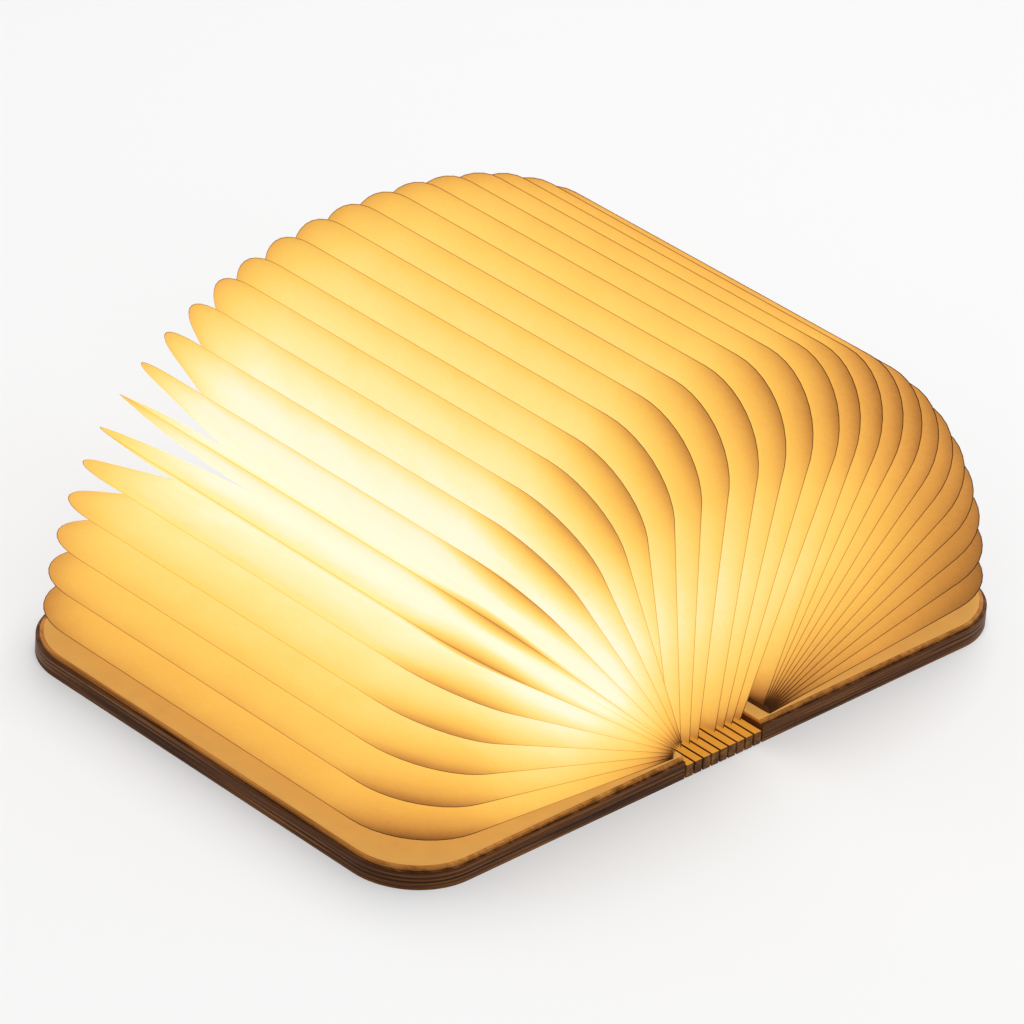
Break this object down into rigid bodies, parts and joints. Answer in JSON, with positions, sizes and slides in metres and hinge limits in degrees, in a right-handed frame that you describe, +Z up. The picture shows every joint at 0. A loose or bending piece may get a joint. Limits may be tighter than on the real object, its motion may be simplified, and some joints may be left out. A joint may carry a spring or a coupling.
{
  "type": "folding book lamp",
  "caption": "Wooden book whose covers fold open on a slatted spine to fan out lit, pocketed paper leaves; turned further, the covers meet back to back.",
  "frame": {"origin": "centre of the resting face, under the middle slat, half way along the spine", "axes": "+X across the open covers towards the right one, +Y along the spine towards the edge with the charge port, +Z up from the surface that the open book lies on"},
  "size_m": [0.3028, 0.216, 0.1439],
  "materials": {
    "walnut_board": "oiled, plywood edge",
    "walnut_slat": "oiled",
    "liner_board": "plain",
    "endpaper_card": "matt card",
    "paper": "translucent waterproof paper",
    "linen": "woven",
    "flex_board": "white film",
    "light_chip": "yellow phosphor",
    "battery_foil": "pouch foil",
    "circuit_board": "green mask",
    "black_plastic": "moulded",
    "port_steel": "drawn",
    "magnet_plate": "nickel plate",
    "wire_red": "insulation",
    "lead_film": "amber film"
  },
  "bodies": {
    "left_cover": {"left_cover": "walnut_board", "left_liner": "liner_board", "left_endpaper": "endpaper_card", "hinge_linen": "linen", "battery": "battery_foil", "control_board": "circuit_board", "board_parts": "black_plastic", "charge_port": "port_steel", "port_tongue": "black_plastic", "magnet_switch": "black_plastic", "left_magnets": "magnet_plate", "inner_wires": "wire_red", "strip_lead": "lead_film"},
    "right_cover": {"right_cover": "walnut_board", "right_liner": "liner_board", "right_endpaper": "endpaper_card", "right_magnets": "magnet_plate"},
    "slat_1": {"slat_1": "walnut_slat"},
    "slat_2": {"slat_2": "walnut_slat"},
    "slat_3": {"slat_3": "walnut_slat"},
    "slat_4": {"slat_4": "walnut_slat"},
    "slat_5": {"slat_5": "walnut_slat", "light_strip": "flex_board", "light_chips": "light_chip"},
    "slat_6": {"slat_6": "walnut_slat"},
    "slat_7": {"slat_7": "walnut_slat"},
    "slat_8": {"slat_8": "walnut_slat"},
    "slat_9": {"slat_9": "walnut_slat"},
    "leaf_01": {"leaf_01": "paper"},
    "leaf_02": {"leaf_02": "paper"},
    "leaf_03": {"leaf_03": "paper"},
    "leaf_04": {"leaf_04": "paper"},
    "leaf_05": {"leaf_05": "paper"},
    "leaf_06": {"leaf_06": "paper"},
    "leaf_07": {"leaf_07": "paper"},
    "leaf_08": {"leaf_08": "paper"},
    "leaf_09": {"leaf_09": "paper"},
    "leaf_10": {"leaf_10": "paper"},
    "leaf_11": {"leaf_11": "paper"},
    "leaf_12": {"leaf_12": "paper"},
    "leaf_13": {"leaf_13": "paper"},
    "leaf_14": {"leaf_14": "paper"},
    "leaf_15": {"leaf_15": "paper"},
    "leaf_16": {"leaf_16": "paper"},
    "leaf_17": {"leaf_17": "paper"},
    "leaf_18": {"leaf_18": "paper"},
    "leaf_19": {"leaf_19": "paper"},
    "leaf_20": {"leaf_20": "paper"},
    "leaf_21": {"leaf_21": "paper"},
    "leaf_22": {"leaf_22": "paper"},
    "leaf_23": {"leaf_23": "paper"},
    "leaf_24": {"leaf_24": "paper"},
    "leaf_25": {"leaf_25": "paper"},
    "leaf_26": {"leaf_26": "paper"},
    "leaf_27": {"leaf_27": "paper"},
    "leaf_28": {"leaf_28": "paper"},
    "leaf_29": {"leaf_29": "paper"},
    "leaf_30": {"leaf_30": "paper"}
  },
  "joints": [
    {"name": "spine_fold_1", "type": "hinge", "parent": "left_cover", "child": "slat_1", "pos_m": [-0.0189, 0, 0.0026], "axis": [0, -1, 0], "range_deg": [-18, 18], "deforming": ["hinge_linen", "strip_lead"]},
    {"name": "spine_fold_2", "type": "hinge", "parent": "slat_1", "child": "slat_2", "pos_m": [-0.0147, 0, 0.0026], "axis": [0, -1, 0], "range_deg": [-18, 18]},
    {"name": "spine_fold_3", "type": "hinge", "parent": "slat_2", "child": "slat_3", "pos_m": [-0.0105, 0, 0.0026], "axis": [0, -1, 0], "range_deg": [-18, 18]},
    {"name": "spine_fold_4", "type": "hinge", "parent": "slat_3", "child": "slat_4", "pos_m": [-0.0063, 0, 0.0026], "axis": [0, -1, 0], "range_deg": [-18, 18]},
    {"name": "spine_fold_5", "type": "hinge", "parent": "slat_4", "child": "slat_5", "pos_m": [-0.0021, 0, 0.0026], "axis": [0, -1, 0], "range_deg": [-18, 18]},
    {"name": "spine_fold_6", "type": "hinge", "parent": "slat_5", "child": "slat_6", "pos_m": [0.0021, 0, 0.0026], "axis": [0, -1, 0], "range_deg": [-18, 18]},
    {"name": "spine_fold_7", "type": "hinge", "parent": "slat_6", "child": "slat_7", "pos_m": [0.0063, 0, 0.0026], "axis": [0, -1, 0], "range_deg": [-18, 18]},
    {"name": "spine_fold_8", "type": "hinge", "parent": "slat_7", "child": "slat_8", "pos_m": [0.0105, 0, 0.0026], "axis": [0, -1, 0], "range_deg": [-18, 18]},
    {"name": "spine_fold_9", "type": "hinge", "parent": "slat_8", "child": "slat_9", "pos_m": [0.0147, 0, 0.0026], "axis": [0, -1, 0], "range_deg": [-18, 18]},
    {"name": "spine_fold_10", "type": "hinge", "parent": "slat_9", "child": "right_cover", "pos_m": [0.0189, 0, 0.0026], "axis": [0, -1, 0], "range_deg": [-18, 18]},
    {"name": "leaf_turn_01", "type": "hinge", "parent": "left_cover", "child": "leaf_01", "pos_m": [-0.02185, 0, 0.0093], "axis": [0, -1, 0], "range_deg": [-4.6, 4.6], "deforming": ["leaf_01"]},
    {"name": "leaf_turn_02", "type": "hinge", "parent": "leaf_01", "child": "leaf_02", "pos_m": [-0.0218, 0, 0.00973], "axis": [0, -1, 0], "range_deg": [-6.39, 6.39], "deforming": ["leaf_02"]},
    {"name": "leaf_turn_03", "type": "hinge", "parent": "leaf_02", "child": "leaf_03", "pos_m": [-0.02169, 0, 0.01014], "axis": [0, -1, 0], "range_deg": [-6.39, 6.39], "deforming": ["leaf_03"]},
    {"name": "leaf_turn_04", "type": "hinge", "parent": "leaf_03", "child": "leaf_04", "pos_m": [-0.02154, 0, 0.01055], "axis": [0, -1, 0], "range_deg": [-6.39, 6.39], "deforming": ["leaf_04"]},
    {"name": "leaf_turn_05", "type": "hinge", "parent": "leaf_04", "child": "leaf_05", "pos_m": [-0.02135, 0, 0.01093], "axis": [0, -1, 0], "range_deg": [-6.39, 6.39], "deforming": ["leaf_05"]},
    {"name": "leaf_turn_06", "type": "hinge", "parent": "leaf_05", "child": "leaf_06", "pos_m": [-0.02111, 0, 0.01129], "axis": [0, -1, 0], "range_deg": [-6.39, 6.39], "deforming": ["leaf_06"]},
    {"name": "leaf_turn_07", "type": "hinge", "parent": "leaf_06", "child": "leaf_07", "pos_m": [-0.02083, 0, 0.01162], "axis": [0, -1, 0], "range_deg": [-6.39, 6.39], "deforming": ["leaf_07"]},
    {"name": "leaf_turn_08", "type": "hinge", "parent": "leaf_07", "child": "leaf_08", "pos_m": [-0.02052, 0, 0.01192], "axis": [0, -1, 0], "range_deg": [-6.39, 6.39], "deforming": ["leaf_08"]},
    {"name": "leaf_turn_09", "type": "hinge", "parent": "leaf_08", "child": "leaf_09", "pos_m": [-0.02018, 0, 0.01218], "axis": [0, -1, 0], "range_deg": [-6.39, 6.39], "deforming": ["leaf_09"]},
    {"name": "leaf_turn_10", "type": "hinge", "parent": "leaf_09", "child": "leaf_10", "pos_m": [-0.01981, 0, 0.01241], "axis": [0, -1, 0], "range_deg": [-6.39, 6.39], "deforming": ["leaf_10"]},
    {"name": "leaf_turn_11", "type": "hinge", "parent": "leaf_10", "child": "leaf_11", "pos_m": [-0.01942, 0, 0.01259], "axis": [0, -1, 0], "range_deg": [-6.39, 6.39], "deforming": ["leaf_11"]},
    {"name": "leaf_turn_12", "type": "hinge", "parent": "leaf_11", "child": "leaf_12", "pos_m": [-0.01822, 0, 0.01072], "axis": [0, -1, 0], "range_deg": [-5.68, 5.68], "deforming": ["leaf_12"]},
    {"name": "leaf_turn_13", "type": "hinge", "parent": "leaf_12", "child": "leaf_13", "pos_m": [-0.00429, 0, -0.03683], "axis": [0, -1, 0], "range_deg": [-4.78, 4.78], "deforming": ["leaf_13"]},
    {"name": "leaf_turn_14", "type": "hinge", "parent": "leaf_13", "child": "leaf_14", "pos_m": [-0.00356, 0, -0.03835], "axis": [0, -1, 0], "range_deg": [-4.78, 4.78], "deforming": ["leaf_14"]},
    {"name": "leaf_turn_15", "type": "hinge", "parent": "leaf_14", "child": "leaf_15", "pos_m": [-0.00303, 0, -0.03923], "axis": [0, -1, 0], "range_deg": [-4.78, 4.78], "deforming": ["leaf_15"]},
    {"name": "leaf_turn_30", "type": "hinge", "parent": "right_cover", "child": "leaf_30", "pos_m": [0.02185, 0, 0.0093], "axis": [0, 1, 0], "range_deg": [-4.6, 4.6], "deforming": ["leaf_30"]},
    {"name": "leaf_turn_29", "type": "hinge", "parent": "leaf_30", "child": "leaf_29", "pos_m": [0.0218, 0, 0.00973], "axis": [0, 1, 0], "range_deg": [-6.39, 6.39], "deforming": ["leaf_29"]},
    {"name": "leaf_turn_28", "type": "hinge", "parent": "leaf_29", "child": "leaf_28", "pos_m": [0.02169, 0, 0.01014], "axis": [0, 1, 0], "range_deg": [-6.39, 6.39], "deforming": ["leaf_28"]},
    {"name": "leaf_turn_27", "type": "hinge", "parent": "leaf_28", "child": "leaf_27", "pos_m": [0.02154, 0, 0.01055], "axis": [0, 1, 0], "range_deg": [-6.39, 6.39], "deforming": ["leaf_27"]},
    {"name": "leaf_turn_26", "type": "hinge", "parent": "leaf_27", "child": "leaf_26", "pos_m": [0.02135, 0, 0.01093], "axis": [0, 1, 0], "range_deg": [-6.39, 6.39], "deforming": ["leaf_26"]},
    {"name": "leaf_turn_25", "type": "hinge", "parent": "leaf_26", "child": "leaf_25", "pos_m": [0.02111, 0, 0.01129], "axis": [0, 1, 0], "range_deg": [-6.39, 6.39], "deforming": ["leaf_25"]},
    {"name": "leaf_turn_24", "type": "hinge", "parent": "leaf_25", "child": "leaf_24", "pos_m": [0.02083, 0, 0.01162], "axis": [0, 1, 0], "range_deg": [-6.39, 6.39], "deforming": ["leaf_24"]},
    {"name": "leaf_turn_23", "type": "hinge", "parent": "leaf_24", "child": "leaf_23", "pos_m": [0.02052, 0, 0.01192], "axis": [0, 1, 0], "range_deg": [-6.39, 6.39], "deforming": ["leaf_23"]},
    {"name": "leaf_turn_22", "type": "hinge", "parent": "leaf_23", "child": "leaf_22", "pos_m": [0.02018, 0, 0.01218], "axis": [0, 1, 0], "range_deg": [-6.39, 6.39], "deforming": ["leaf_22"]},
    {"name": "leaf_turn_21", "type": "hinge", "parent": "leaf_22", "child": "leaf_21", "pos_m": [0.01981, 0, 0.01241], "axis": [0, 1, 0], "range_deg": [-6.39, 6.39], "deforming": ["leaf_21"]},
    {"name": "leaf_turn_20", "type": "hinge", "parent": "leaf_21", "child": "leaf_20", "pos_m": [0.01942, 0, 0.01259], "axis": [0, 1, 0], "range_deg": [-6.39, 6.39], "deforming": ["leaf_20"]},
    {"name": "leaf_turn_19", "type": "hinge", "parent": "leaf_20", "child": "leaf_19", "pos_m": [0.01822, 0, 0.01072], "axis": [0, 1, 0], "range_deg": [-5.68, 5.68], "deforming": ["leaf_19"]},
    {"name": "leaf_turn_18", "type": "hinge", "parent": "leaf_19", "child": "leaf_18", "pos_m": [0.00429, 0, -0.03683], "axis": [0, 1, 0], "range_deg": [-4.78, 4.78], "deforming": ["leaf_18"]},
    {"name": "leaf_turn_17", "type": "hinge", "parent": "leaf_18", "child": "leaf_17", "pos_m": [0.00356, 0, -0.03835], "axis": [0, 1, 0], "range_deg": [-4.78, 4.78], "deforming": ["leaf_17"]},
    {"name": "leaf_turn_16", "type": "hinge", "parent": "leaf_17", "child": "leaf_16", "pos_m": [0.00303, 0, -0.03923], "axis": [0, 1, 0], "range_deg": [-4.78, 4.78], "deforming": ["leaf_16"]}
  ],
  "couplings": [
    {"joint": "leaf_turn_01", "follows": "spine_fold_1", "ratio": 0.25556},
    {"joint": "leaf_turn_02", "follows": "spine_fold_1", "ratio": 0.35495},
    {"joint": "leaf_turn_03", "follows": "spine_fold_1", "ratio": 0.35495},
    {"joint": "leaf_turn_04", "follows": "spine_fold_2", "ratio": 0.35495},
    {"joint": "leaf_turn_05", "follows": "spine_fold_2", "ratio": 0.35495},
    {"joint": "leaf_turn_06", "follows": "spine_fold_2", "ratio": 0.35495},
    {"joint": "leaf_turn_07", "follows": "spine_fold_3", "ratio": 0.35495},
    {"joint": "leaf_turn_08", "follows": "spine_fold_3", "ratio": 0.35495},
    {"joint": "leaf_turn_09", "follows": "spine_fold_3", "ratio": 0.35495},
    {"joint": "leaf_turn_10", "follows": "spine_fold_4", "ratio": 0.35495},
    {"joint": "leaf_turn_11", "follows": "spine_fold_4", "ratio": 0.35495},
    {"joint": "leaf_turn_12", "follows": "spine_fold_4", "ratio": 0.31534},
    {"joint": "leaf_turn_13", "follows": "spine_fold_5", "ratio": 0.26553},
    {"joint": "leaf_turn_14", "follows": "spine_fold_5", "ratio": 0.26553},
    {"joint": "leaf_turn_15", "follows": "spine_fold_5", "ratio": 0.26553},
    {"joint": "leaf_turn_30", "follows": "spine_fold_10", "ratio": 0.25556},
    {"joint": "leaf_turn_29", "follows": "spine_fold_10", "ratio": 0.35495},
    {"joint": "leaf_turn_28", "follows": "spine_fold_10", "ratio": 0.35495},
    {"joint": "leaf_turn_27", "follows": "spine_fold_9", "ratio": 0.35495},
    {"joint": "leaf_turn_26", "follows": "spine_fold_9", "ratio": 0.35495},
    {"joint": "leaf_turn_25", "follows": "spine_fold_9", "ratio": 0.35495},
    {"joint": "leaf_turn_24", "follows": "spine_fold_8", "ratio": 0.35495},
    {"joint": "leaf_turn_23", "follows": "spine_fold_8", "ratio": 0.35495},
    {"joint": "leaf_turn_22", "follows": "spine_fold_8", "ratio": 0.35495},
    {"joint": "leaf_turn_21", "follows": "spine_fold_7", "ratio": 0.35495},
    {"joint": "leaf_turn_20", "follows": "spine_fold_7", "ratio": 0.35495},
    {"joint": "leaf_turn_19", "follows": "spine_fold_7", "ratio": 0.31534},
    {"joint": "leaf_turn_18", "follows": "spine_fold_6", "ratio": 0.26553},
    {"joint": "leaf_turn_17", "follows": "spine_fold_6", "ratio": 0.26553},
    {"joint": "leaf_turn_16", "follows": "spine_fold_6", "ratio": 0.26553}
  ]
}
